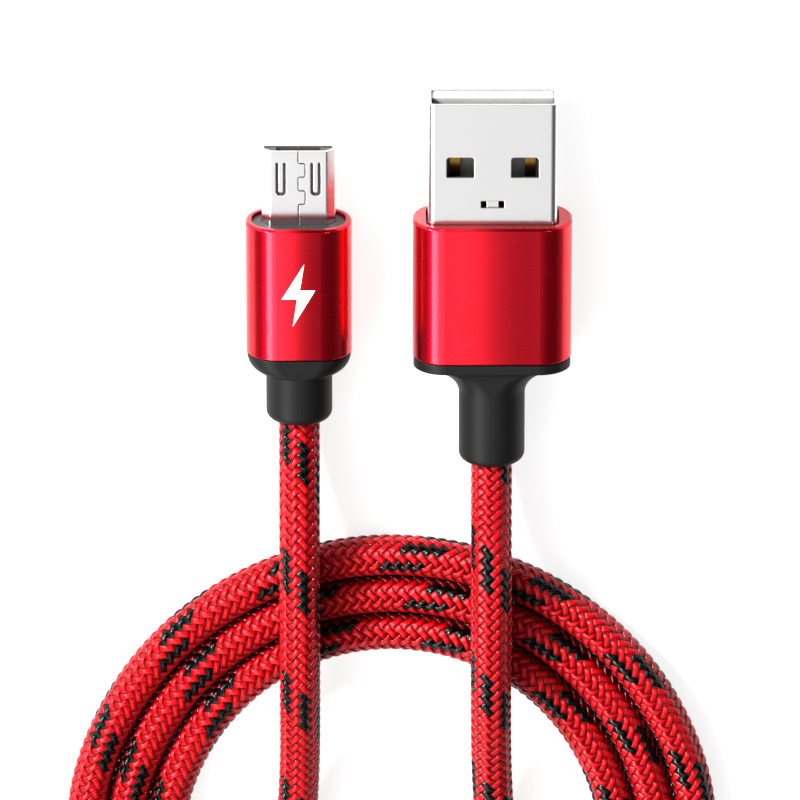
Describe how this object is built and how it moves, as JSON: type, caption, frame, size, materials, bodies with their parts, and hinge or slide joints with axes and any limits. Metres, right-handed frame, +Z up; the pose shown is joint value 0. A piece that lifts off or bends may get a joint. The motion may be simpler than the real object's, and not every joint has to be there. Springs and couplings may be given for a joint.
{
  "type": "charging cable",
  "caption": "Braided charging cable with a USB-A plug and a micro-USB plug in red aluminium sleeves, coiled flat in an oval with both ends led out side by side.",
  "frame": {"origin": "on the table, under the middle of the box round the two plugs", "axes": "+Y the way both plugs point, +X from the micro-USB plug to the USB-A plug, +Z up from the table"},
  "size_m": [0.0629, 0.1485, 0.0083],
  "materials": {
    "red_anodised": "anodised, satin",
    "shell_steel": "nickel plated",
    "spring_steel": "bright",
    "gold_contact": "gold plated",
    "boot_black": "soft matte",
    "plastic_black": "matte",
    "plastic_grey": "satin",
    "plastic_white": "satin",
    "print_white": "printed",
    "braid": "woven nylon, red with a black figure",
    "cord_end": "matte",
    "crimp_copper": "bright",
    "wire_red": "gloss",
    "wire_white": "gloss",
    "wire_green": "gloss",
    "wire_black": "gloss"
  },
  "bodies": {
    "cable": {"usb_a_sleeve": "red_anodised", "usb_a_shell": "shell_steel", "usb_a_tongue": "plastic_white", "usb_a_inner_mould": "plastic_black", "usb_a_boot": "boot_black", "usb_a_cord_stub": "cord_end", "usb_a_crimp": "crimp_copper", "usb_a_contact_1": "gold_contact", "usb_a_contact_2": "gold_contact", "usb_a_contact_3": "gold_contact", "usb_a_contact_4": "gold_contact", "usb_a_wire_1": "wire_red", "usb_a_wire_2": "wire_white", "usb_a_wire_3": "wire_green", "usb_a_wire_4": "wire_black", "micro_sleeve": "red_anodised", "micro_charge_mark": "print_white", "micro_front_plate": "plastic_black", "micro_shell": "shell_steel", "micro_moulding": "plastic_grey", "micro_inner_mould": "plastic_black", "micro_boot": "boot_black", "micro_cord_stub": "cord_end", "micro_crimp": "crimp_copper", "micro_contact_1": "gold_contact", "micro_contact_2": "gold_contact", "micro_contact_3": "gold_contact", "micro_contact_4": "gold_contact", "micro_contact_5": "gold_contact", "micro_wire_1": "wire_red", "micro_wire_2": "wire_white", "micro_wire_3": "wire_green", "micro_wire_5": "wire_black", "cord_micro_lead": "braid", "cord_usb_a_lead": "braid", "cord_coil": "braid"},
    "latch_left": {"micro_latch_left": "spring_steel"},
    "latch_right": {"micro_latch_right": "spring_steel"}
  },
  "joints": [
    {"name": "latch_left_flex", "type": "hinge", "parent": "cable", "child": "latch_left", "pos_m": [-0.01289, 0.00625, 0.00271], "axis": [1, 0, 0], "range_deg": [0, 4.5], "stiffness_Nm_per_rad": 0.04},
    {"name": "latch_right_flex", "type": "hinge", "parent": "cable", "child": "latch_right", "pos_m": [-0.00761, 0.00625, 0.00271], "axis": [1, 0, 0], "range_deg": [0, 4.5], "stiffness_Nm_per_rad": 0.04}
  ]
}
